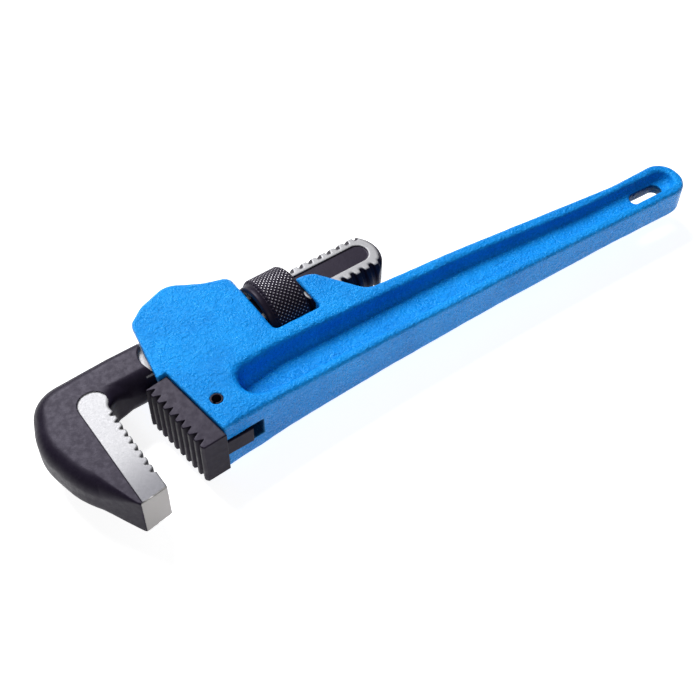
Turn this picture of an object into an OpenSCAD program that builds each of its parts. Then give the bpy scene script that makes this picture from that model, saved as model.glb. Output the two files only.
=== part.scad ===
// Straight pipe wrench, 14 inch class, lying on its side.
// Drawn about the screw axis: X runs from the jaws to the end of the handle, Y points away from
// the mouth, and Z is across the thickness. place() then moves it onto the ground.

/* [Head] */
// Thickness across the flat sides of the head
head_t = 27.75; // [26:0.25:30]
// Half the width of the shank passage
passage_half_z = 8.3; // [8.2:0.1:8.6]
// Half the width of the mouth that lets the thick neck in
mouth_half_z = 10.6; // [10.5:0.1:11]
// Where the mouth ends and the passage proper begins
mouth_end_x = -53.7; // [-56:0.1:-53.5]

/* [Nut window] */
// Front face of the window
window_x0 = -17.8; // [-19:0.1:-17.6]
// Rear face of the window
window_x1 = 5.4; // [5:0.1:7]
// Floor of the window
window_y = -17.9; // [-19:0.1:-17.5]

/* [Handle] */
// Thickness at the end of the handle
tail_t = 15; // [13:0.5:17]
// Radius of the rounded end of the handle
tail_r = 10.9; // [9:0.5:11]
// Middle of the rounded end, along the wrench
tail_x = 185; // [175:0.5:187]
// Middle of the rounded end, across the wrench
tail_y = -44.5; // [-45.5:0.5:-43.5]
// Thickness of the web between the two grooves
web_t = 5; // [4:0.5:7]
// Length of the hanging slot
slot_len = 17; // [14:0.5:18]
// Width of the hanging slot
slot_w = 6.2; // [6:0.2:8]

/* [Hook jaw] */
// Thickness of the forged hook and neck
hook_t = 20.5; // [18:0.5:21]
// Thickness of the shank across its milled flats
shank_t = 15.72; // [15:0.02:16]
// Crest radius of the shank's thread
thread_r = 12.35; // [12:0.05:12.4]
// Screw axis, across the wrench
screw_y = -0.6; // [-1:0.1:0]
// Pitch of the shank's thread
thread_pitch = 5; // [4:0.5:6]
// Depth of the shank's thread
thread_depth = 1.7; // [1:0.1:2]
// End of the threaded shank
shank_end_x = 48.4; // [44:0.1:50]
// Line of the hook's tooth tips
hook_teeth_x = -94.5; // [-97:0.5:-93]
// Distance between teeth on both jaws
tooth_pitch = 4.1; // [3.5:0.1:5]
// Depth of the teeth on both jaws
tooth_depth = 2.2; // [1.5:0.1:3]

/* [Heel jaw] */
// Thickness of the toothed block
heel_t = 24; // [20:0.5:25]
// Thickness of the tongue that slides into the head
tongue_t = 8.6; // [7:0.2:10]
// Outer radius of the slotted pin
pin_r = 2.75; // [2:0.05:3]
// Wall of the slotted pin
pin_wall = 0.8; // [0.5:0.05:1]

/* [Adjusting nut] */
// Outer radius over the knurl
nut_r = 16.84; // [15:0.02:17]
// Bore radius
nut_bore_r = 12.43; // [12.42:0.01:12.6]
// Front face of the nut
nut_x0 = -17.0; // [-17.2:0.1:-16]
// Rear face of the nut
nut_x1 = 2.8; // [2:0.1:4]
// Radius of the plain collar at the front
nut_collar_r = 15; // [14:0.1:16]
// Length of the plain collar
nut_collar_len = 2.6; // [2:0.1:4]

/* [Springs] */
// Width of the flat spring
strip_w = 10; // [8:0.5:12]
// Thickness of the flat spring
strip_t = 1; // [0.6:0.1:1.2]
// Place of the coil spring along the wrench
coil_x = -46; // [-49:0.5:-44]
// Mean radius of the coil spring
coil_r = 3.3; // [3:0.1:4]
// Wire radius of the coil spring
wire_r = 0.55; // [0.4:0.05:0.7]
// Turns of the coil spring
coil_turns = 4.5; // [3:0.5:6]

/* [Hidden] */
$fn = 64;
through = 60;               // longer than any cut needs
seat_gap = 0.03;            // clearance between parts that are fixed together
slide_gap = 0.12;           // clearance round parts that slide

paint = [0.10, 0.50, 0.92];
forged = [0.22, 0.21, 0.25];
bright = [0.75, 0.75, 0.77];

// ---- outlines with rounded corners: each point is [x, y, corner radius] ----
arc_step_angle = 11;
function unit(v) = v / norm(v);
function xy(p) = [p[0], p[1]];
function turn(u, w) = u[0] * w[1] - u[1] * w[0] > 0 ? -1 : 1;
function corner(a, b, c, r) =
    let (u = unit(a - b), w = unit(c - b), half = acos(u * w) / 2,
         middle = b + unit(u + w) * r / sin(half),
         start = b + u * r / tan(half) - middle,
         from = atan2(start[1], start[0]),
         sweep = turn(u, w) * (180 - 2 * half),
         steps = ceil(abs(sweep) / arc_step_angle))
    [for (i = [0 : steps]) middle + r * [cos(from + sweep * i / steps), sin(from + sweep * i / steps)]];
function rounded(p) =
    let (n = len(p))
    [for (i = [0 : n - 1])
        each p[i][2] == 0 ? [xy(p[i])]
                          : corner(xy(p[(i + n - 1) % n]), xy(p[i]), xy(p[(i + 1) % n]), p[i][2])];

// ---- plan outlines ----
near_edge_y = -49.9;
seat_top = [-68.6, -13.6];      // seat of the heel jaw on the head, mouth end last
seat_low = [-63.9, -51.4];
seat_slope = (seat_low[0] - seat_top[0]) / (seat_low[1] - seat_top[1]);

casting_outline = rounded([
    [seat_top[0], seat_top[1], 0], [-73.0, -14.2, 0.8], [-71.4, -4, 25], [-67.6, 17.6, 5.5],
    [-59.0, 24.3, 9], [-44.2, 29.4, 12], [-29.6, 22.0, 14], [-18.0, 18.8, 4.5],
    [window_x0, 8, 0], [window_x0, window_y, 2], [window_x1, window_y, 1.2], [window_x1, 1.6, 0.6],
    [13.6, 0.8, 8], [29, -20.9, 8], [74, -23.9, 200], [137, -30.4, 200], [164, -33.3, 60],
    [tail_x + tail_r, tail_y + tail_r, tail_r - 0.6], [tail_x + tail_r, tail_y - tail_r, tail_r - 0.6],
    [137, -52.8, 200], [80, -50.8, 200], [22, near_edge_y, 200], [-34, near_edge_y - 0.4, 60],
    [seat_low[0], seat_low[1], 1.5]]);

// The grooves that make the handle an I-beam run from the head to the hanging slot.
groove_outline = rounded([
    [-46.4, -28.2, 7.5], [-22, -25.6, 30], [26, -27.4, 80], [74, -29.6, 200], [137, -36.2, 200],
    [tail_x + 6.2, tail_y + 5.7, 5.3], [tail_x + 6.2, tail_y - 5.7, 5.3],
    [137, -47.9, 200], [80, -46.4, 200], [22, -45.4, 200], [-34, -44.6, 40], [-46.2, -42.8, 7.6]]);

// Half thickness of the casting along the wrench.
half_head = head_t / 2;
thickness_profile = rounded([
    [-90, -half_head, 0], [-50, -half_head, 60], [-26, -12.1, 60], [28, -10.2, 100],
    [74, -9, 150], [150, -tail_t / 2, 200], [220, -tail_t / 2, 0],
    [220, tail_t / 2, 0], [150, tail_t / 2, 200], [74, 9, 150], [28, 10.2, 100],
    [-26, 12.1, 60], [-50, half_head, 60], [-90, half_head, 0]]);

// ---- hook jaw outlines ----
neck_end_x = -69;               // the thick neck ends here and the shank goes on
neck_back_y = 11.6;
neck_front_y = -9.6;
flat_x = -63;                   // middle of the milled flats' round ends
flat_r = 10;
hook_outline = rounded([
    [neck_end_x, neck_back_y, 0], [-118.8, neck_back_y + 0.2, 16], [-128.3, -13.0, 30],
    [-123.2, -36.2, 40], [-107.2, -61.0, 1.5], [hook_teeth_x, -59.4, 1],
    [hook_teeth_x, neck_front_y - 3, 3], [hook_teeth_x + 4, neck_front_y, 3],
    [neck_end_x, neck_front_y, 0]]);

hook_tooth_count = 9;
hook_tooth_top_y = -15.6;
recess_half_y = 5.1;            // recess along the shank's flats
recess_y = -0.2;
recess_x1 = 43;
recess_depth = 0.7;
thread_start_x = -33;
shank_end_r = 14;

// ---- heel jaw outline ----
heel_tip_top = [-79.2, -15.4];
heel_tip_low = [-75.4, -52.6];
heel_tooth_count = 9;
heel_tooth_lean = [-8, -1];     // the way the teeth point
tongue_end_x = -51;
tongue_slot_x = -45.5;
tongue_top_y = -18;
pin_at = [-58.3, -36.7];

// ---- springs ----
strip_y = screw_y + thread_r + slide_gap;
strip_x0 = -66;
strip_x1 = -22;
lip_top_y = 18.8;
pocket_top_y = 22.4;
pocket_r = coil_r + wire_r + 0.25;
rivet_r = 1.3;
rivet_head_r = 2.5;

// ---- where the part stands ----
plan_points = concat(casting_outline, hook_outline);
centre_x = (min([for (p = plan_points) p[0]]) + max([for (p = plan_points) p[0]])) / 2;
centre_y = (min([for (p = plan_points) p[1]]) + max([for (p = plan_points) p[1]])) / 2;

module place() {
    translate([-centre_x, -centre_y, nut_r]) children();
}

module slab(t) {
    linear_extrude(t, center = true) children();
}

module box(low, high) {
    translate(low) cube(high - low);
}

// Turned about the screw axis: the profile's points are [radius, x].
module about_screw() {
    translate([0, screw_y, 0]) rotate([0, 90, 0]) rotate_extrude() children();
}

// ---- handle: head and handle in one casting ----
module casting_blank() {
    intersection() {
        slab(2 * through) polygon(casting_outline);
        rotate([90, 0, 0]) slab(3 * through) polygon(thickness_profile);
    }
}

module handle_grooves() {
    for (side = [-1, 1])
        translate([0, 0, side * (web_t / 2 + through / 2)]) slab(through) polygon(groove_outline);
}

module hanging_slot() {
    slot_r = slot_w / 2;
    half = slot_len / 2 - slot_r;
    near = [tail_x - 9 - half, tail_y + 0.6];
    far = [tail_x - 9 + half, tail_y];
    slab(through) {
        translate(near) circle(slot_r);
        translate(far) circle(slot_r);
        polygon([near - [0, slot_r], far - [0, slot_r], far + [0, slot_r], near + [0, slot_r]]);
    }
}

// The passage widens towards the front on the back side, so that the shank can rock.
module shank_passage() {
    low_y = screw_y - thread_r - slide_gap;
    slab(2 * passage_half_z)
        polygon([[-90, low_y], [window_x0 + 1, low_y], [window_x0 + 1, 14.9], [-90, 17.9]]);
    box([-90, low_y, -mouth_half_z], [mouth_end_x, 40, mouth_half_z]);
}

// Channel between the two cheeks behind the window, where the tail of the shank moves.
module tail_channel() {
    slab(2 * passage_half_z)
        polygon([[window_x1 - 1, -13.7], [40, -15.6], [40, 10], [window_x1 - 1, 10]]);
}

module heel_slot() {
    half_z = tongue_t / 2 + seat_gap;
    box([-80, -60, -half_z], [tongue_slot_x, tongue_top_y + seat_gap, half_z]);
}

module coil_pocket() {
    translate([coil_x, pocket_top_y, 0]) rotate([90, 0, 0]) cylinder(h = 9, r = pocket_r);
}

module handle() {
    color(paint) place() difference() {
        casting_blank();
        handle_grooves();
        hanging_slot();
        shank_passage();
        tail_channel();
        heel_slot();
        coil_pocket();
        translate([pin_at[0], pin_at[1], -through / 2]) cylinder(h = through, r = pin_r + 0.01);
    }
}

// ---- hook jaw ----
module hook_teeth() {
    for (i = [0 : hook_tooth_count - 1]) {
        top = hook_tooth_top_y - i * tooth_pitch;
        slab(through) polygon([[hook_teeth_x + 1, top + 0.6], [hook_teeth_x - tooth_depth, top - 1.1],
                               [hook_teeth_x + 1, top - tooth_pitch + 1.2]]);
    }
}

// The thread's grooves. Those on the mouth side lie half a pitch behind those on the back side.
module thread_grooves(side) {
    shift = side > 0 ? 0 : thread_pitch / 2;
    for (x = [thread_start_x + shift : thread_pitch : shank_end_x - 6])
        intersection() {
            about_screw() polygon([[thread_r - thread_depth, x - 0.7], [thread_r + 1, x - 2],
                                   [thread_r + 1, x + 2], [thread_r - thread_depth, x + 0.7]]);
            translate([x - 4, side > 0 ? 0 : -through, -through / 2]) cube([8, through, through]);
        }
}

module shank() {
    start_x = neck_end_x - 2;
    intersection() {
        about_screw() polygon([[0, start_x], [thread_r, start_x], [thread_r, shank_end_x], [0, shank_end_x]]);
        slab(shank_t) {
            translate([shank_end_x - shank_end_r, screw_y]) circle(shank_end_r);
            translate([start_x, -20]) square([shank_end_x - shank_end_r - start_x, 40]);
        }
    }
}

module shank_recesses() {
    for (side = [-1, 1])
        translate([0, 0, side * (shank_t / 2 + 5 - recess_depth)]) slab(10) {
            translate([recess_x1 - recess_half_y, recess_y]) circle(recess_half_y);
            translate([flat_x, recess_y - recess_half_y])
                square([recess_x1 - recess_half_y - flat_x, 2 * recess_half_y]);
        }
}

module milled_flats() {
    for (side = [-1, 1])
        translate([flat_x, 0, side * (shank_t / 2 + 10)]) slab(20) {
            circle(flat_r);
            translate([0, -through / 2]) square([through, through]);
        }
}

module hook_jaw() {
    color(forged) place() difference() {
        union() {
            slab(hook_t) polygon(hook_outline);
            shank();
        }
        hook_teeth();
        milled_flats();
        shank_recesses();
        thread_grooves(1);
        thread_grooves(-1);
    }
}

// ---- heel jaw ----
function along_tips(s) = heel_tip_top + s * unit(heel_tip_low - heel_tip_top);

module heel_teeth() {
    out = unit(heel_tooth_lean);
    for (i = [0 : heel_tooth_count - 1]) {
        top = along_tips(i * tooth_pitch);
        low = along_tips((i + 1) * tooth_pitch);
        root = along_tips((i + 0.55) * tooth_pitch) - out * tooth_depth;
        slab(through) polygon([top + out - [0, 0.3], root, low + out + [0, 0.3]]);
    }
}

module heel_block() {
    slab(heel_t) polygon([seat_top + [-seat_gap, -0.4], heel_tip_top, heel_tip_low,
                          [heel_tip_low[0] + 1, heel_tip_low[1] - 1.2],
                          [seat_low[0] - seat_gap - seat_slope, seat_low[1] - 2]]);
}

module heel_jaw() {
    color(forged) place() difference() {
        union() {
            difference() {
                heel_block();
                heel_teeth();
            }
            slab(tongue_t) polygon([[seat_top[0] - 1, tongue_top_y], [tongue_end_x, tongue_top_y],
                                    [tongue_end_x, seat_low[1] - 0.6], [seat_low[0] - 2, seat_low[1] - 0.6]]);
        }
        translate([pin_at[0], pin_at[1], -through / 2]) cylinder(h = through, r = pin_r + 0.01);
    }
}

module heel_jaw_pin() {
    color(forged) place() translate([pin_at[0], pin_at[1], 0]) difference() {
        cylinder(h = head_t - 0.8, r = pin_r, center = true);
        cylinder(h = through, r = pin_r - pin_wall, center = true);
        rotate([0, 0, 215]) translate([0, -0.5, -through / 2]) cube([5, 1, through]);
    }
}

// ---- adjusting nut ----
module adjusting_nut() {
    collar_x = nut_x0 + nut_collar_len;
    profile = [[nut_bore_r, nut_x0], [nut_collar_r - 0.6, nut_x0], [nut_collar_r, nut_x0 + 0.6],
               [nut_collar_r, collar_x], [nut_r - 0.9, collar_x], [nut_r, collar_x + 1.2],
               [nut_r, nut_x1 - 1.4], [nut_r - 1.2, nut_x1], [nut_bore_r, nut_x1]];
    color(forged) place() about_screw() polygon(profile);
}

// ---- springs ----
module flat_spring() {
    strip = rounded([
        [strip_x1, strip_y, 0], [strip_x1, strip_y + strip_t, 0],
        [strip_x0 + strip_t, strip_y + strip_t, 1.2],
        [strip_x0 + 2.2, lip_top_y, 0], [strip_x0 + 1.2, lip_top_y, 0], [strip_x0 - 0.2, strip_y, 2.2]]);
    color(bright) place() difference() {
        slab(strip_w) polygon(strip);
        translate([coil_x, strip_y + strip_t / 2, 0]) rotate([90, 0, 0])
            cylinder(h = 5, r = rivet_r + 0.01, center = true);
    }
}

module spring_rivet() {
    color(bright) place() translate([coil_x, strip_y + 0.02, 0]) rotate([-90, 0, 0]) {
        cylinder(h = strip_t + 1, r = rivet_r);
        translate([0, 0, strip_t]) cylinder(h = 1, r = rivet_head_r);
    }
}

// Wire swept along a helix about the Y axis, standing in the pocket.
ring_sides = 8;
ring_count = 64;
coil_low_y = strip_y + strip_t + wire_r + 0.02;
coil_high_y = pocket_top_y - wire_r - 0.02;
function helix_ring(t) =
    let (a = 360 * coil_turns * t, y = coil_low_y + (coil_high_y - coil_low_y) * t)
    [for (k = [0 : ring_sides - 1])
        let (b = 360 * k / ring_sides, reach = coil_r + wire_r * cos(b))
        [coil_x + reach * cos(a), y + wire_r * sin(b), reach * sin(a)]];

module coil_spring() {
    points = [for (i = [0 : ring_count - 1]) each helix_ring(i / (ring_count - 1))];
    last = (ring_count - 1) * ring_sides;
    sides = [for (i = [0 : ring_count - 2], k = [0 : ring_sides - 1])
        let (n = (k + 1) % ring_sides, a = i * ring_sides, b = a + ring_sides)
        each [[a + k, a + n, b + n], [a + k, b + n, b + k]]];
    ends = [[for (k = [ring_sides - 1 : -1 : 0]) k], [for (k = [0 : ring_sides - 1]) last + k]];
    color(bright) place() polyhedron(points, concat(sides, ends));
}

handle();
hook_jaw();
heel_jaw();
heel_jaw_pin();
adjusting_nut();
flat_spring();
coil_spring();
spring_rivet();
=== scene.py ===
"""Straight pipe wrench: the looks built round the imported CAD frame.

Shapes are worked out in millimetres in the wrench's own axes: X runs from the jaws to the end
of the handle, Y points away from the mouth, Z is across the thickness. The adjusting nut
turns about the line y = SCREW_Y, z = 0, between x = NUT_X0 and NUT_X1. place() turns the shapes
into metres in the row's frame.
"""
import math

import bpy
import numpy as np
import openvdb
from mathutils import Matrix, Vector


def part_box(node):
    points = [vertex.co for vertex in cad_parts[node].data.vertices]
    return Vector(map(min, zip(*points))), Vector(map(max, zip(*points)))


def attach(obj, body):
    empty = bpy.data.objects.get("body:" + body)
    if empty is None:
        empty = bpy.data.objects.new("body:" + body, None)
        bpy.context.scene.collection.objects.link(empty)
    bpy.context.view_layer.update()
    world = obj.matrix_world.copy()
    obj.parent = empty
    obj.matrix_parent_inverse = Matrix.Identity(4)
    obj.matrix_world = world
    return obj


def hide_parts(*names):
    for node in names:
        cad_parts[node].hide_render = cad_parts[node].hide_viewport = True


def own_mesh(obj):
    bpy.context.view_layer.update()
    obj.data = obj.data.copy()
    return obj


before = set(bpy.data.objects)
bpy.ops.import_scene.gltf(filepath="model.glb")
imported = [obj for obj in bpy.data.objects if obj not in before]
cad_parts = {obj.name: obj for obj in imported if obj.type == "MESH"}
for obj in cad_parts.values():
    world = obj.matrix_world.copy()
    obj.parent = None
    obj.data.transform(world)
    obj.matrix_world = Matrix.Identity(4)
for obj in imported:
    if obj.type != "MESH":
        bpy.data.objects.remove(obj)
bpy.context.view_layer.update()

MM = 0.001
SCREW_Y = -0.6                 # screw axis
NUT_X0, NUT_X1 = -17.0, 2.8    # faces of the adjusting nut
nut_low, nut_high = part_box("adjusting_nut")
ORIGIN = Vector((nut_high.x - NUT_X1 * MM,
                 (nut_low.y + nut_high.y) / 2 - SCREW_Y * MM,
                 (nut_low.z + nut_high.z) / 2))


# ---------------------------------------------------------------- shapes as distance fields

class Field:
    """A grid of points, in mm, on which a solid is described by its signed distance."""

    def __init__(self, low, high, step):
        self.low, self.step = np.array(low, float), step
        counts = np.ceil((np.array(high, float) - self.low) / step).astype(int) + 1
        axes = [self.low[i] + step * np.arange(counts[i]) for i in range(3)]
        self.x, self.y, self.z = (axes[0][:, None, None], axes[1][None, :, None],
                                  axes[2][None, None, :])

    def mesh(self, name, distance):
        """The surface where the distance is zero, as an object of quads and triangles."""
        grid = openvdb.FloatGrid(background=3.0)
        grid.copyFromArray(np.clip(distance, -3, 3).astype(np.float32))
        points, triangles, quads = grid.convertToPolygons(isovalue=0.0, adaptivity=0.0)
        points = points * self.step + self.low
        return mesh_object(name, points, triangles.tolist() + quads.tolist())


def mesh_object(name, points, faces):
    mesh = bpy.data.meshes.new(name)
    mesh.from_pydata([tuple(p) for p in points], [], faces)
    mesh.update()
    piece = bpy.data.objects.new(name, mesh)
    bpy.context.scene.collection.objects.link(piece)
    return piece


def smooth_max(a, b, k):
    """The solid that a and b share. The edge between them is rounded over about k mm."""
    h = np.maximum(k - np.abs(a - b), 0) / k
    return np.maximum(a, b) + h * h * k / 4


def smooth_min(a, b, k):
    """a and b joined, with a fillet of about k mm between them."""
    return -smooth_max(-a, -b, k)


def cut(a, b, k):
    """a with b taken away."""
    return smooth_max(a, -b, k)


def outline_distance(x, y, points):
    """Signed distance from the closed outline, negative inside."""
    best = np.full(np.broadcast(x, y).shape, 1e9)
    inside = np.zeros(best.shape, bool)
    for (ax, ay), (bx, by) in zip(points, points[1:] + points[:1]):
        ex, ey = bx - ax, by - ay
        along = np.clip(((x - ax) * ex + (y - ay) * ey) / (ex * ex + ey * ey), 0, 1)
        best = np.minimum(best, (x - ax - along * ex) ** 2 + (y - ay - along * ey) ** 2)
        if ay != by:
            crosses = (ay > y) != (by > y)
            inside ^= crosses & (x < ex * (y - ay) / ey + ax)
    distance = np.sqrt(best)
    return np.where(inside, -distance, distance)


def slab(flat, z, half, edge):
    """A plan outline given thickness: half is its half thickness, edge its rounding radius."""
    side, face = flat + edge, np.abs(z) - half + edge
    outer = np.sqrt(np.maximum(side, 0) ** 2 + np.maximum(face, 0) ** 2)
    return outer + np.minimum(np.maximum(side, face), 0) - edge


def box_distance(field, low, high):
    """Distance past the nearest face of the box, negative inside."""
    middle = [(a + b) / 2 for a, b in zip(low, high)]
    half = [(b - a) / 2 for a, b in zip(low, high)]
    gaps = [np.abs(p - m) - h
            for p, m, h in zip((field.x, field.y, field.z), middle, half)]
    return np.maximum(np.maximum(gaps[0], gaps[1]), gaps[2])


def rounded(corners):
    """Outline through [x, y, radius] corners, each rounded to its radius."""
    outline = []
    count = len(corners)
    for i, (x, y, radius) in enumerate(corners):
        here = Vector((x, y))
        if radius == 0:
            outline.append((x, y))
            continue
        to_last = (Vector(corners[i - 1][:2]) - here).normalized()
        to_next = (Vector(corners[(i + 1) % count][:2]) - here).normalized()
        half = to_last.angle(to_next) / 2
        middle = here + (to_last + to_next).normalized() * radius / math.sin(half)
        start = here + to_last * radius / math.tan(half) - middle
        sweep = math.copysign(math.pi - 2 * half, -to_last.cross(to_next))
        steps = max(2, math.ceil(abs(sweep) / math.radians(6)))
        for n in range(steps + 1):
            turned = Matrix.Rotation(sweep * n / steps, 2) @ start
            outline.append(tuple(middle + turned))
    return outline


def cylinder_z(field, x, y, radius):
    """Distance from an endless cylinder through (x, y) that runs across the thickness."""
    return np.hypot(field.x - x, field.y - y) - radius


def blend_between(x, stops):
    """A value that follows the (x, value) stops."""
    return np.interp(x, [s[0] for s in stops], [s[1] for s in stops])


def ripple(x, y, z, length, seed, waves=9):
    """Gentle unevenness between about -1 and 1, with bumps about length mm apart."""
    random = np.random.default_rng(seed)
    total = 0
    for _ in range(waves):
        way = random.normal(size=3)
        way *= 2 * math.pi / length / np.linalg.norm(way) * random.uniform(0.6, 1.4)
        total = total + np.sin(way[0] * x + way[1] * y + way[2] * z + random.uniform(0, 6.28))
    return total / math.sqrt(waves) / 1.5


def join_rings(rings, sides, closed=False):
    """Faces of a tube through rings of points, with flat ends, or closed into a loop."""
    faces = []
    for i in range(rings if closed else rings - 1):
        here, there = i * sides, (i + 1) % rings * sides
        faces += [(here + k, here + (k + 1) % sides, there + (k + 1) % sides, there + k)
                  for k in range(sides)]
    if not closed:
        faces += [tuple(range(sides))[::-1], tuple(range((rings - 1) * sides, rings * sides))]
    return faces


def points_of(piece):
    """The x, y and z of all vertices."""
    flat = np.zeros(len(piece.data.vertices) * 3)
    piece.data.vertices.foreach_get("co", flat)
    return flat.reshape(-1, 3).T


def store(piece, name, values):
    """Keeps one number per vertex, which the material reads."""
    attribute = piece.data.attributes.new(name, "FLOAT", "POINT")
    attribute.data.foreach_set("value", np.asarray(values, np.float32))


def place(piece, node, body, material):
    """Turns mm into metres in the frame, gives the piece its material, hangs it on its body and hides
    the CAD part it stands for.
    """
    piece.data.transform(Matrix.Translation(ORIGIN) @ Matrix.Scale(MM, 4))
    piece.data.materials.append(material)
    piece.data.shade_smooth()
    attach(piece, body)
    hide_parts(node)


# ---------------------------------------------------------------- materials

def add_node(tree, kind, settings=None, **inputs):
    """A node with its settings, and its inputs given as values or as the sockets that feed them."""
    node = tree.nodes.new(kind)
    for key, value in (settings or {}).items():
        setattr(node, key, value)
    for key, value in inputs.items():
        socket = node.inputs[int(key[1:])] if key[0] == "_" else node.inputs[key.replace("_", " ")]
        if isinstance(value, bpy.types.NodeSocket):
            tree.links.new(value, socket)
        else:
            socket.default_value = value
    return node


class Finish:
    """A procedural material: colour, roughness and bump built from noise of real sizes in mm."""

    def __init__(self, name):
        self.material = bpy.data.materials.new(name)
        self.material.use_nodes = True
        self.tree = self.material.node_tree
        self.shader = self.tree.nodes["Principled BSDF"]
        self.coordinates = self.tree.nodes.new("ShaderNodeTexCoord").outputs["Object"]
        self.normal = None

    def noise(self, size, detail=3.0, stretch=(1, 1, 1)):
        at = self.coordinates
        if stretch != (1, 1, 1):
            at = add_node(self.tree, "ShaderNodeMapping", Vector=at, Scale=stretch).outputs[0]
        return add_node(self.tree, "ShaderNodeTexNoise", Vector=at, Scale=1 / (size * MM),
                        Detail=detail, Roughness=0.55).outputs["Fac"]

    def ramp(self, value, low, high, to_low=0.0, to_high=1.0):
        return add_node(self.tree, "ShaderNodeMapRange", {"interpolation_type": "SMOOTHSTEP"},
                        Value=value, From_Min=low, From_Max=high,
                        To_Min=to_low, To_Max=to_high).outputs["Result"]

    def stored(self, name):
        return add_node(self.tree, "ShaderNodeAttribute", {"attribute_name": name}).outputs["Fac"]

    def pointiness(self):
        return self.tree.nodes.new("ShaderNodeNewGeometry").outputs["Pointiness"]

    def math(self, operation, a, b=0.0):
        return add_node(self.tree, "ShaderNodeMath", {"operation": operation},
                        _0=a, _1=b).outputs[0]

    def mix(self, share, a, b):
        """Mixes two colours, or two numbers."""
        if all(isinstance(v, float) or getattr(v, "type", "") == "VALUE" for v in (a, b)):
            return add_node(self.tree, "ShaderNodeMix", _0=share, _2=a, _3=b).outputs[0]
        a, b = [v if isinstance(v, bpy.types.NodeSocket) else (*v, 1) for v in (a, b)]
        return add_node(self.tree, "ShaderNodeMix", {"data_type": "RGBA"},
                        _0=share, _6=a, _7=b).outputs[2]

    def bump(self, height, depth):
        """depth is the height in mm of the bumps."""
        inputs = {"Height": height, "Distance": depth * MM, "Strength": 1.0}
        if self.normal:
            inputs["Normal"] = self.normal
        self.normal = add_node(self.tree, "ShaderNodeBump", **inputs).outputs[0]

    def finish(self, **sockets):
        for key, value in {**sockets, "Normal": self.normal}.items():
            socket = self.shader.inputs[key.replace("_", " ")]
            if isinstance(value, bpy.types.NodeSocket):
                self.tree.links.new(value, socket)
            else:
                socket.default_value = value
        return self.material


def blue_paint():
    """Thick gloss enamel on a rough sand casting, with painted shade inside the slots."""
    paint = Finish("blue_enamel")
    broad, grain = paint.noise(26), paint.noise(1.1, 4)
    pits = paint.ramp(paint.noise(2.6, 5), 0.29, 0.24, 0.0, 0.5)
    colour = paint.mix(paint.ramp(broad, 0.3, 0.7), (0.002, 0.175, 0.58), (0.003, 0.23, 0.69))
    colour = paint.mix(paint.ramp(grain, 0.45, 0.75, 0.0, 0.4), colour, (0.02, 0.36, 0.98))
    # Painted highlight: convex edges are mixed towards a lighter blue.
    edge = paint.ramp(paint.pointiness(), 0.505, 0.56, 0.0, 0.35)
    colour = paint.mix(edge, colour, (0.05, 0.42, 1.0))
    colour = paint.mix(pits, colour, (0.003, 0.06, 0.26))
    # Painted shade: the walls of the hanging slot and of the heel jaw's slot are darkened to near
    # black.
    inside = paint.ramp(paint.stored("inside"), 0.9, 0.2, 0.0, 0.9)
    colour = paint.mix(inside, colour, (0.002, 0.014, 0.05))
    paint.bump(paint.noise(3.2, 3), 0.6)
    paint.bump(grain, 0.65)
    paint.bump(paint.noise(0.55, 2), 0.07)
    rough = paint.ramp(paint.noise(3), 0.3, 0.7, 0.22, 0.38)
    return paint.finish(Base_Color=colour, Roughness=rough,
                        Specular_IOR_Level=0.35, Specular_Tint=(0.08, 0.72, 1.0, 1.0))


def dark_forging(name, marked=None, worn=None):
    """Black phosphate on forged steel.

    It is ground bright where the stored number named by marked is below 0, and rubbed bare where
    the one named by worn is close to 1.
    """
    steel = Finish(name)
    cloud, grain = steel.noise(14), steel.noise(0.7, 4)
    colour = steel.mix(steel.ramp(cloud, 0.3, 0.7),
                       (0.009, 0.0065, 0.014), (0.012, 0.009, 0.018))
    colour = steel.mix(steel.ramp(grain, 0.5, 0.8, 0.0, 0.3), colour, (0.030, 0.026, 0.042))
    rough = steel.ramp(steel.noise(2.2), 0.3, 0.7, 0.38, 0.48)
    metal = steel.ramp(steel.pointiness(), 0.53, 0.62, 0.0, 0.6)
    if worn:
        patchy = steel.math("ADD", steel.stored(worn), steel.math("MULTIPLY", cloud, 0.3))
        bare = steel.ramp(patchy, 0.88, 1.12)
        colour = steel.mix(bare, colour, (0.50, 0.49, 0.52))
        metal = steel.mix(bare, metal, 0.9)
    steel.bump(steel.noise(3.5, 2), 0.05)
    steel.bump(grain, 0.03)
    if marked:
        lines = steel.noise(0.35, 2, (0.25, 6.0, 1.0))
        wobble = steel.math("MULTIPLY", steel.math("SUBTRACT", steel.noise(1.2), 0.5), 0.5)
        ground = steel.ramp(steel.math("ADD", steel.stored(marked), wobble), 0.12, -0.12)
        # Painted shade: the ground patch is darker at the tip and lighter 30 mm from it.
        painted_tip_shade = steel.ramp(steel.stored("tip"), 0, 30)
        patch = steel.mix(painted_tip_shade, (0.12, 0.12, 0.13), (0.30, 0.30, 0.31))
        patch = steel.mix(steel.ramp(lines, 0.35, 0.75, 0.0, 0.35), patch, (0.20, 0.205, 0.22))
        # Painted light: the tip's ground end face is made lighter still.
        painted_tip_light = steel.ramp(steel.stored("tip"), 0.3, -0.3)
        patch = steel.mix(painted_tip_light, patch, (0.37, 0.36, 0.35))
        colour = steel.mix(ground, colour, patch)
        rough = steel.mix(ground, rough, steel.ramp(lines, 0.3, 0.7, 0.42, 0.6))
        metal = steel.mix(ground, metal, 0.35)
    return steel.finish(Base_Color=colour, Roughness=rough, Metallic=metal,
                        Specular_IOR_Level=0.13, Specular_Tint=(0.86, 0.80, 1.0, 1.0))


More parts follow.
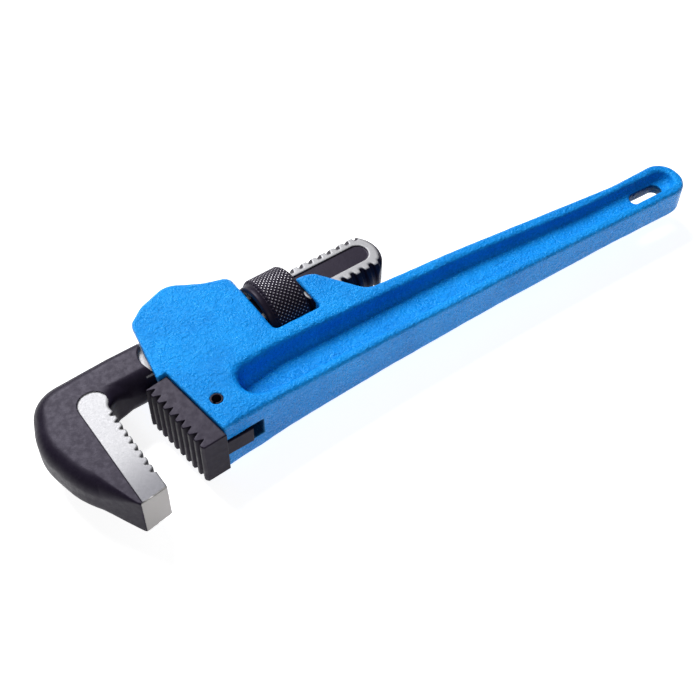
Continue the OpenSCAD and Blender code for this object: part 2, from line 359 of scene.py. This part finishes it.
def bright_steel():
    """Bare spring steel with drawing lines and a trace of oil."""
    steel = Finish("spring_steel")
    lines = steel.noise(0.4, 3, (0.2, 1.0, 3.0))
    colour = steel.mix(steel.ramp(steel.noise(4), 0.3, 0.7), (0.36, 0.35, 0.35), (0.62, 0.62, 0.63))
    steel.bump(lines, 0.01)
    return steel.finish(Base_Color=colour, Metallic=1.0,
                        Roughness=steel.ramp(lines, 0.3, 0.7, 0.25, 0.45))


def studio_floor():
    floor = Finish("pale_floor")
    floor.bump(floor.noise(3), 0.005)
    colour = floor.mix(floor.ramp(floor.noise(60), 0.3, 0.7), (0.62, 0.62, 0.62), (0.66, 0.66, 0.66))
    return floor.finish(Base_Color=colour, Roughness=0.7, Specular_IOR_Level=0.0,
                        Emission_Color=(1, 1, 1, 1), Emission_Strength=0.84)


# ---------------------------------------------------------------- handle and head

SEAT_TOP, SEAT_LOW = (-68.6, -13.6), (-63.9, -51.4)    # the heel jaw's seat on the head
PIN_AT, PIN_R = (-58.3, -36.7), 2.75
SHANK_R = 12.35                # over the thread
PASSAGE_LOW_Y = SCREW_Y - SHANK_R - 0.12
PASSAGE_HALF, PASSAGE_END_X = 8.3, -16.8
ROOF_Y, ROOF_RISE = 14.9, 0.041              # the passage widens towards the mouth
MOUTH_HALF, MOUTH_END_X = 10.6, -53.7
CHANNEL_X0, CHANNEL_X1 = 4.4, 40             # behind the nut's window, for the end of the shank
CHANNEL_LOW_Y, CHANNEL_FALL = -13.7, 0.053
HEEL_SLOT_HALF, HEEL_SLOT_X1, HEEL_SLOT_Y1 = 4.33, -45.5, -17.97
COIL_X, POCKET_R, POCKET_TOP_Y, POCKET_DEPTH = -46, 4.1, 22.4, 9
SLOT_X, SLOT_Y, SLOT_R = 170.6, -43.9, 3.15  # the hanging slot's end nearer the head
SLOT_RUN, SLOT_FALL = 10.8, 0.6              # from there to its other end
WINDOW_X0, WINDOW_X1, WINDOW_Y = -17.8, 5.4, -17.9
TAIL_X, TAIL_Y, TAIL_R = 185, -44.5, 10.9    # the rounded end of the handle
ROOM = 0.1                     # left for the uneven surface inside the CAD's outline

CASTING = rounded([
    (*SEAT_TOP, 0), (-73.0, -14.2, 0.8), (-71.4, -4, 25), (-67.6, 17.6, 5.5),
    (-59.0, 24.3, 9), (-44.2, 29.4, 12), (-29.6, 22.0, 14), (-18.0, 18.8, 4.5),
    (WINDOW_X0, 8, 0), (WINDOW_X0, WINDOW_Y, 2), (WINDOW_X1, WINDOW_Y, 1.2), (WINDOW_X1, 1.6, 0.6),
    (13.6, 0.8, 8), (29, -20.9, 8), (74, -23.9, 200), (137, -30.4, 200), (164, -33.3, 60),
    (TAIL_X + TAIL_R, TAIL_Y + TAIL_R, 10.3), (TAIL_X + TAIL_R, TAIL_Y - TAIL_R, 10.3),
    (137, -52.8, 200), (80, -50.8, 200), (22, -49.9, 200), (-34, -50.3, 60), (*SEAT_LOW, 1.5)])
GROOVE = rounded([
    (-46.4, -28.2, 7.5), (-22, -25.6, 30), (26, -27.4, 80), (74, -29.6, 200), (137, -36.2, 200),
    (TAIL_X + 6.2, TAIL_Y + 5.7, 5.3), (TAIL_X + 6.2, TAIL_Y - 5.7, 5.3),
    (137, -47.9, 200), (80, -46.4, 200), (22, -45.4, 200), (-34, -44.6, 40), (-46.2, -42.8, 7.6)])
HALF_THICKNESS = [(-56, 13.83), (-48, 13.7), (-26, 12.1), (2, 11.1), (28, 10.2), (74, 9.0),
                  (112, 8.2), (150, 7.5), (220, 7.5)]
WEB_HALF = 2.5
GROOVE_DRAFT = 0.16            # how far a groove's wall leans in for each mm of depth


def hanging_slot(x, y):
    """Plan distance from the slot near the end of the handle."""
    along = np.clip((x - SLOT_X) / SLOT_RUN, 0, 1)
    return np.hypot(x - SLOT_X - SLOT_RUN * along, y - SLOT_Y + SLOT_FALL * along) - SLOT_R


def heel_slot(x, y, z):
    """Distance from the slot for the heel jaw's tongue."""
    return np.maximum(np.abs(z) - HEEL_SLOT_HALF, np.maximum(x - HEEL_SLOT_X1, y - HEEL_SLOT_Y1))


def shank_passage(field):
    """The shank's way through the head, with its wider mouth."""
    roof = field.y - ROOF_Y - (PASSAGE_END_X - field.x) * ROOF_RISE
    passage = box_distance(field, (-90, PASSAGE_LOW_Y, -PASSAGE_HALF),
                           (PASSAGE_END_X, 40, PASSAGE_HALF))
    mouth = box_distance(field, (-90, PASSAGE_LOW_Y, -MOUTH_HALF), (MOUTH_END_X, 40, MOUTH_HALF))
    return np.minimum(np.maximum(passage, roof), mouth)


def tail_channel(field):
    """Between the two cheeks behind the nut's window."""
    floor = CHANNEL_LOW_Y - field.y - (field.x - CHANNEL_X0) * CHANNEL_FALL
    return np.maximum(box_distance(field, (CHANNEL_X0, -20, -PASSAGE_HALF),
                                   (CHANNEL_X1, 10, PASSAGE_HALF)), floor)


def coil_pocket(x, y, z):
    ends = np.maximum(y - POCKET_TOP_Y, POCKET_TOP_Y - POCKET_DEPTH - y)
    return np.maximum(np.hypot(x - COIL_X, z) - POCKET_R, ends)


def casting():
    field = Field((-75, -57, -15.5), (197.5, 30.5, 15.5), 0.6)
    x, y, z = field.x, field.y, field.z
    half = blend_between(x, HALF_THICKNESS) - ROOM
    uneven = (ripple(x, y, z, 13, 3) * 0.06 + ripple(x, y, z, 5, 4) * 0.04
              + ripple(x, y, z, 2.6, 6) * 0.025)
    edge = blend_between(x, [(-66, 1.0), (-55, 2.1), (-10, 2.0), (40, 1.4), (196, 1.8)])
    solid = slab(outline_distance(x, y, CASTING) + ROOM, z, half, edge) + uneven

    wall = outline_distance(x, y, GROOVE) + GROOVE_DRAFT * (half - np.abs(z))
    groove = smooth_max(wall, WEB_HALF - np.abs(z) + ROOM, 3.4) + ripple(x, y, z, 7, 5) * 0.06
    solid = cut(solid, groove, blend_between(x, [(-38, 3.8), (10, 2.4), (150, 1.8)]))

    solid = cut(solid, hanging_slot(x, y), 1.2)
    solid = cut(solid, shank_passage(field), 0.5)
    solid = cut(solid, tail_channel(field), 1.0)
    solid = cut(solid, heel_slot(x, y, z), 0.4)
    solid = cut(solid, coil_pocket(x, y, z), 0.3)
    solid = cut(solid, cylinder_z(field, *PIN_AT, PIN_R + 0.01), 0.5)

    piece = field.mesh("Handle_casting", solid)
    x, y, z = points_of(piece)
    # Where the paint puts its painted shade: the walls of the hanging slot and of the heel jaw's slot.
    store(piece, "inside", np.minimum(hanging_slot(x, y), heel_slot(x, y, z)))
    place(piece, "handle", "handle", blue_paint())


# ---------------------------------------------------------------- hook jaw

HOOK_HALF = 10.25
HOOK_TEETH_X = -94.5           # line of the tooth tips
HOOK_TIP = (-107.2, -61.0)
NECK_FRONT_Y, NECK_END_X = -9.6, -69
HOOK = rounded([
    (-60, 11.6, 0), (-118.8, 11.8, 16), (-128.3, -13.0, 30), (-123.2, -36.2, 40),
    (*HOOK_TIP, 1.5), (HOOK_TEETH_X, -59.4, 1), (HOOK_TEETH_X, NECK_FRONT_Y - 3, 3),
    (HOOK_TEETH_X + 4, NECK_FRONT_Y, 3), (-60, NECK_FRONT_Y, 0)])
# The side of the hook is ground bright beside its teeth.
GROUND_PAD = rounded([(-93.2, -1.9, 6.0), (-106.0, -1.9, 6.3), (-106.0, -60, 0), (-93.2, -60, 0)])
TOOTH_PITCH, TOOTH_COUNT = 4.1, 9            # on both jaws
HOOK_TOOTH_TOP_Y, HOOK_TOOTH_DEPTH = -15.6, 2.2

SHANK_HALF = 7.86              # half thickness across the milled flats
FLATS_X, FLATS_R = -63, 10     # the flats' round end
SHANK_END_X, SHANK_END_R = 48.4, 14
RECESS_X1, RECESS_Y, RECESS_HALF, RECESS_DEPTH = 43, -0.2, 5.1, 0.7
THREAD_PITCH, THREAD_DEPTH = 5, 1.7
THREAD_X0, THREAD_X1 = -33, SHANK_END_X - 2.6
THREAD_TOP_X = 2               # where one groove crosses the back of the shank


def thread_offset(x, y, z):
    """Distance along the wrench to the nearest thread groove, on a right-hand helix."""
    turn = np.arctan2(z, y - SCREW_Y) / (2 * math.pi)
    return np.abs((x - THREAD_TOP_X - THREAD_PITCH * turn + THREAD_PITCH / 2) % THREAD_PITCH
                  - THREAD_PITCH / 2)


def recess_distance(x, y):
    """Plan distance from the long recess in the shank's flats."""
    along = np.clip(x, FLATS_X, RECESS_X1 - RECESS_HALF)
    return np.hypot(x - along, y - RECESS_Y) - RECESS_HALF


def forged_hook(x, y, z):
    """Hook and neck: well rounded at the back and along the neck, and sharp at the teeth."""
    teeth_and_tip = [(-94.6, -17), (-94.4, -17), (-94.4, -59.4), (-107.2, -61.1)]
    from_teeth = np.abs(outline_distance(x, y, teeth_and_tip))
    neck = blend_between(y, [(-7, 8.2), (6, 4.6)]) * np.ones_like(x)
    neck_share = blend_between(x, [(-110, 0.0), (-84, 1.0)])
    edge = neck * neck_share + 7.0 * (1 - neck_share)
    edge = 0.5 + (edge - 0.5) * blend_between(from_teeth, [(1.2, 0), (14, 1)])
    uneven = ripple(x, y, z, 11, 7) * 0.05 + 0.13
    forging = slab(outline_distance(x, y, HOOK) + uneven, z, HOOK_HALF, edge)
    pad = np.maximum(outline_distance(x, y, GROUND_PAD), HOOK_HALF - 0.45 - np.abs(z))
    forging = cut(forging, pad, 0.12)

    for i in range(TOOTH_COUNT):
        top = HOOK_TOOTH_TOP_Y - i * TOOTH_PITCH
        gullet = [(HOOK_TEETH_X + 1, top + 0.6), (HOOK_TEETH_X - HOOK_TOOTH_DEPTH, top - 1.1),
                  (HOOK_TEETH_X + 1, top - TOOTH_PITCH + 1.2)]
        forging = cut(forging, outline_distance(x, y, gullet), 0.12)
    flats = np.where(x > NECK_END_X, -1.0, np.hypot(x - FLATS_X, y) - FLATS_R)
    return cut(forging, np.maximum(flats, SHANK_HALF - np.abs(z)), 0.4)


def threaded_shank(x, y, z):
    radius = np.hypot(y - SCREW_Y, z)
    end_x = SHANK_END_X - SHANK_END_R
    past_end = np.where(x > end_x, np.hypot(x - end_x, y - SCREW_Y) - SHANK_END_R, -3.0)
    shank = smooth_max(radius - SHANK_R + 0.03, np.maximum(past_end + 0.05, -70.6 - x), 0.6)
    groove_half = 0.75 + (radius - SHANK_R + THREAD_DEPTH) * 0.38
    groove = np.maximum(thread_offset(x, y, z) - groove_half, SHANK_R - THREAD_DEPTH - radius)
    groove = np.maximum(groove, np.maximum(THREAD_X0 - x, x - THREAD_X1))
    shank = cut(shank, groove, 0.15)
    end_slope = 0.8 * np.maximum(past_end + 2, 0)
    return smooth_max(shank, np.abs(z) - SHANK_HALF + 0.02 + end_slope, 0.3)


def hook_jaw():
    field = Field((-129, -63, -11.4), (49.0, 13.4, 11.4), 0.36)
    x, y, z = field.x, field.y, field.z
    solid = smooth_min(forged_hook(x, y, z), threaded_shank(x, y, z), 0.3)
    recess = np.maximum(recess_distance(x, y), SHANK_HALF - RECESS_DEPTH - np.abs(z))
    piece = field.mesh("Hook_jaw", cut(solid, recess, 0.35))

    # Bright places: the pad, the tip, the shank's flats round their recess, and the cutter's
    # shoulder where the flats end in the neck.
    x, y, z = points_of(piece)
    pad = np.maximum(outline_distance(x, y, GROUND_PAD), HOOK_HALF - 0.8 - np.abs(z))
    tip = np.abs(outline_distance(x, y, [(-94.4, -59.4), (-106.4, -60.95), (-106.4, -61.05)])) - 0.6
    flat = np.maximum(np.maximum(-74.5 - x, np.abs(np.abs(z) - SHANK_HALF) - 0.3),
                      -recess_distance(x, y))
    shoulder = np.maximum(np.hypot(np.minimum(x - FLATS_X, 0), y) - FLATS_R - 0.25,
                          np.maximum(SHANK_HALF - np.abs(z), np.abs(z) - HOOK_HALF + 0.3))
    shoulder = np.maximum(shoulder, -4 - y)
    # The material reads tip for the pad's painted shade towards the tip and the end face's painted
    # light.
    store(piece, "tip", tip)
    store(piece, "ground", np.minimum(np.minimum(pad, tip), np.minimum(flat, shoulder)))
    place(piece, "hook_jaw", "hook_jaw", dark_forging("forged_hook", "ground"))


# ---------------------------------------------------------------- heel jaw

HEEL_TOP, HEEL_LOW = np.array((-79.2, -15.4)), np.array((-75.4, -52.6))
HEEL_HALF, TONGUE_HALF = 12.0, 4.3
HEEL_TOOTH_DEPTH = 3.2
HEEL_TOOTH_LEAN = (-8, -1)     # the way the teeth point


def heel_jaw():
    field = Field((-81, -54.8, -12.8), (-49.6, -12.4, 12.8), 0.23)
    x, y, z = field.x, field.y, field.z
    block = outline_distance(x, y, [(SEAT_TOP[0] - 0.03, SEAT_TOP[1] - 0.4), tuple(HEEL_TOP),
                                    tuple(HEEL_LOW), (-74.4, -53.8), (-63.82, -53.4)])
    solid = slab(block + 0.03, z, HEEL_HALF - 0.02, 0.4)
    down = (HEEL_LOW - HEEL_TOP) / np.linalg.norm(HEEL_LOW - HEEL_TOP)
    out = np.array(HEEL_TOOTH_LEAN) / math.hypot(*HEEL_TOOTH_LEAN)
    for i in range(TOOTH_COUNT):
        top, low, root = (HEEL_TOP + down * TOOTH_PITCH * (i + n) for n in (0, 1, 0.55))
        gullet = [tuple(top + out - (0, 0.3)), tuple(root - out * HEEL_TOOTH_DEPTH),
                  tuple(low + out + (0, 0.3))]
        solid = cut(solid, outline_distance(x, y, gullet), 0.04)
    tongue = outline_distance(x, y, [(-69.6, -18.0), (-51, -18.0), (-51, -52.0), (-65.9, -52.0)])
    solid = smooth_min(solid, slab(tongue, z, TONGUE_HALF, 0.3), 0.3)
    solid = cut(solid, cylinder_z(field, *PIN_AT, PIN_R + 0.01), 0.3)
    solid = solid + ripple(x, y, z, 6, 9) * 0.02
    piece = field.mesh("Heel_jaw", solid)
    place(piece, "heel_jaw", "handle", dark_forging("forged_heel"))


# ---------------------------------------------------------------- adjusting nut

KNURL_STARTS, KNURL_STEPS = 50, 8
NUT_R, NUT_BORE_R = 16.84, 12.43
COLLAR_R, COLLAR_LENGTH = 15.0, 2.6
KNURL_DEPTH = 0.55
KNURL_PITCH = 2.1              # along the wrench
RIDGE_HEIGHT, RIDGE_FOOT, RIDGE_FLANK = 1.5, 1.25, 0.75    # of the thread in the bore


def adjusting_nut():
    """Rings of points round the screw axis: along the outside, and back through the bore."""
    around = KNURL_STARTS * KNURL_STEPS
    angle = 2 * math.pi * np.arange(around) / around
    step = KNURL_PITCH / KNURL_STEPS
    collar_x = NUT_X0 + COLLAR_LENGTH
    outside = [(NUT_X0, NUT_BORE_R + 0.5), (NUT_X0, COLLAR_R - 0.7), (NUT_X0 + 0.2, COLLAR_R - 0.2),
               (NUT_X0 + 0.6, COLLAR_R), (collar_x, COLLAR_R), (collar_x + 0.15, NUT_R - 1.2)]
    knurled = np.arange(collar_x + 0.3, NUT_X1 - 0.35, step)
    shape = [(0, NUT_R - 1.0), (0.35, NUT_R - 0.45), (1.1, NUT_R - 0.02)]
    rings, height = [], []
    for x, radius in outside:
        rings.append((x, np.full(around, radius)))
        height.append(np.zeros(around))
    for x in knurled:
        end_gap = min(x - collar_x - 0.3, NUT_X1 - 0.35 - x)
        crest = float(blend_between(end_gap, shape))
        along = x / KNURL_PITCH
        turn = KNURL_STARTS * angle / (2 * math.pi)
        lines = [np.abs(2 * ((turn + way * along) % 1) - 1) for way in (-1, 1)]
        diamond = np.minimum(np.minimum(*lines), 0.8) / 0.8
        rings.append((x, crest - KNURL_DEPTH * (1 - diamond)))
        height.append(diamond * (crest > NUT_R - 0.3))
    for x, radius in [(NUT_X1 - 0.15, NUT_R - 1.25), (NUT_X1, NUT_R - 1.6), (NUT_X1, NUT_BORE_R + 0.5)]:
        rings.append((x, np.full(around, radius)))
        height.append(np.zeros(around))
    # The thread in the bore runs in the shank's grooves.
    for x in np.linspace(NUT_X1 - 0.4, NUT_X0 + 0.4, 76):
        away = thread_offset(x, SCREW_Y + np.cos(angle), np.sin(angle))
        ridge = np.clip((RIDGE_FOOT - away) / RIDGE_FLANK, 0, 1)
        rings.append((x, NUT_BORE_R + 0.05 - RIDGE_HEIGHT * ridge))
        height.append(np.zeros(around))
    points = [(x, SCREW_Y + r * math.cos(a), r * math.sin(a))
              for x, ring in rings for r, a in zip(ring, angle)]
    piece = mesh_object("Adjusting_nut", points, join_rings(len(rings), around, closed=True))
    store(piece, "crest", np.concatenate(height))
    place(piece, "adjusting_nut", "adjusting_nut",
          dark_forging("knurled_black", worn="crest"))


# ---------------------------------------------------------------- pin and springs

PIN_WALL = 0.8
STRIP_Y = SCREW_Y + SHANK_R + 0.12           # the flat spring's face on the shank
COIL_R, WIRE_R, COIL_TURNS = 3.3, 0.55, 4.5


def extruded(name, outline, half, bevel_width):
    """A closed outline given thickness, with its edges rounded."""
    count = len(outline)
    points = [(x, y, z) for z in (-half, half) for x, y in outline]
    faces = [(i, (i + 1) % count, count + (i + 1) % count, count + i) for i in range(count)]
    faces += [tuple(range(count))[::-1], tuple(range(count, 2 * count))]
    piece = mesh_object(name, points, faces)
    bevel = piece.modifiers.new("Bevel", "BEVEL")
    bevel.width = bevel_width
    bevel.segments = 2
    bevel.limit_method = "ANGLE"
    with bpy.context.temp_override(object=piece, active_object=piece):
        bpy.ops.object.modifier_apply(modifier=bevel.name)
    return piece


def arc_round_pin(radius, angles):
    return [(PIN_AT[0] + radius * math.cos(a), PIN_AT[1] + radius * math.sin(a)) for a in angles]


def heel_jaw_pin():
    """A sheet steel tube rolled up with an open slit."""
    slit, slit_half, steps = math.radians(215), 0.22, 60
    sweep = 2 * math.pi - 2 * slit_half
    angles = [slit + slit_half + sweep * i / steps for i in range(steps + 1)]
    outline = arc_round_pin(PIN_R - 0.01, angles) + arc_round_pin(PIN_R - PIN_WALL, angles[::-1])
    piece = extruded("Heel_jaw_pin", outline, 13.45, 0.2)
    place(piece, "heel_jaw_pin", "handle", dark_forging("pin_black"))


def flat_spring():
    strip = rounded([(-22, STRIP_Y + 0.01, 0), (-22, STRIP_Y + 0.99, 0), (-65, STRIP_Y + 0.99, 1.2),
                     (-63.8, 18.79, 0), (-64.7, 18.79, 0), (-66.15, STRIP_Y + 0.01, 2.2)])
    piece = extruded("Flat_spring", strip, 4.95, 0.18)
    place(piece, "flat_spring", "spring_pack", bright_steel())


def turned(name, profile, base, sides=48):
    """Rings about the Y axis through base; the profile's points are (radius, height)."""
    points = []
    for radius, height in profile:
        for k in range(sides):
            a = 2 * math.pi * k / sides
            points.append((base[0] + radius * math.sin(a), base[1] + height,
                           base[2] + radius * math.cos(a)))
    return mesh_object(name, points, join_rings(len(profile), sides))


def spring_rivet():
    profile = [(1.2, 0.02), (1.3, 0.12), (1.3, 1.02), (1.95, 1.02), (2.1, 1.2), (1.95, 1.6),
               (1.4, 1.95), (0.7, 2.0)]
    piece = turned("Spring_rivet", profile, (COIL_X, STRIP_Y, 0))
    place(piece, "spring_rivet", "spring_pack", bright_steel())


def coil_spring():
    """Round wire swept along a helix about the Y axis."""
    low_y, high_y = STRIP_Y + 1 + WIRE_R + 0.02, POCKET_TOP_Y - WIRE_R - 0.02
    rings, sides = 200, 12
    points = []
    for i in range(rings):
        t = i / (rings - 1)
        a = 2 * math.pi * COIL_TURNS * t
        for k in range(sides):
            b = 2 * math.pi * k / sides
            reach = COIL_R + (WIRE_R - 0.01) * math.cos(b)
            points.append((COIL_X + reach * math.cos(a),
                           low_y + (high_y - low_y) * t + (WIRE_R - 0.01) * math.sin(b),
                           reach * math.sin(a)))
    piece = mesh_object("Coil_spring", points, join_rings(rings, sides))
    place(piece, "coil_spring", "handle", bright_steel())
    # Rocking the jaw by 2 degrees lifts the strip by 1.36 mm at the spring.
    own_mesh(piece)


casting()
hook_jaw()
heel_jaw()
adjusting_nut()
heel_jaw_pin()
flat_spring()
spring_rivet()
coil_spring()


# ---------------------------------------------------------------- floor, light and camera

def studio():
    size = 3.0
    mesh = bpy.data.meshes.new("Floor")
    mesh.from_pydata([(-size, -size, 0), (size, -size, 0), (size, size, 0), (-size, size, 0)],
                     [], [(0, 1, 2, 3)])
    floor = bpy.data.objects.new("Floor", mesh)
    mesh.materials.append(studio_floor())
    bpy.context.scene.collection.objects.link(floor)

    world = bpy.data.worlds.new("Soft_room")
    world.use_nodes = True
    world.node_tree.nodes["Background"].inputs["Color"].default_value = (1, 1, 1, 1)
    world.node_tree.nodes["Background"].inputs["Strength"].default_value = 0.10
    bpy.context.scene.world = world
    bpy.context.scene.view_settings.view_transform = "Standard"

    for name, place_m, watts, side in [("Key", (0.0, 0.8, 0.9), 25, 0.6),
                                       ("Front", (-0.45, -0.75, 0.8), 2.0, 0.2),
                                       ("Low_fill", (-0.7, -1.1, 0.14), 0.4, 0.25)]:
        light = bpy.data.objects.new(name, bpy.data.lights.new(name, "AREA"))
        light.data.energy = watts
        light.data.size = side
        light.location = place_m
        light.rotation_euler = (-Vector(place_m)).to_track_quat("-Z", "Y").to_euler()
        bpy.context.scene.collection.objects.link(light)


def camera():
    """Long lens from in front of the jaws, looking down on the wrench."""
    turn, lift, roll = math.radians(-36.063), math.radians(51.279), math.radians(0.661)
    back = Vector((math.sin(turn) * math.cos(lift), -math.cos(turn) * math.cos(lift),
                   math.sin(lift)))
    right = Vector((math.cos(turn), math.sin(turn), 0))
    up = back.cross(right)
    level = Matrix((right, up, back)).transposed()
    viewer = bpy.data.objects.new("Camera", bpy.data.cameras.new("Camera"))
    viewer.data.lens = 62.54
    viewer.data.sensor_width = 36
    target = ORIGIN + Vector((0, -47.62, 13.876)) * MM
    viewer.matrix_world = (Matrix.Translation(target + back * 505.82 * MM)
                           @ (level @ Matrix.Rotation(roll, 3, "Z")).to_4x4())
    bpy.context.scene.collection.objects.link(viewer)
    bpy.context.scene.camera = viewer


studio()
camera()
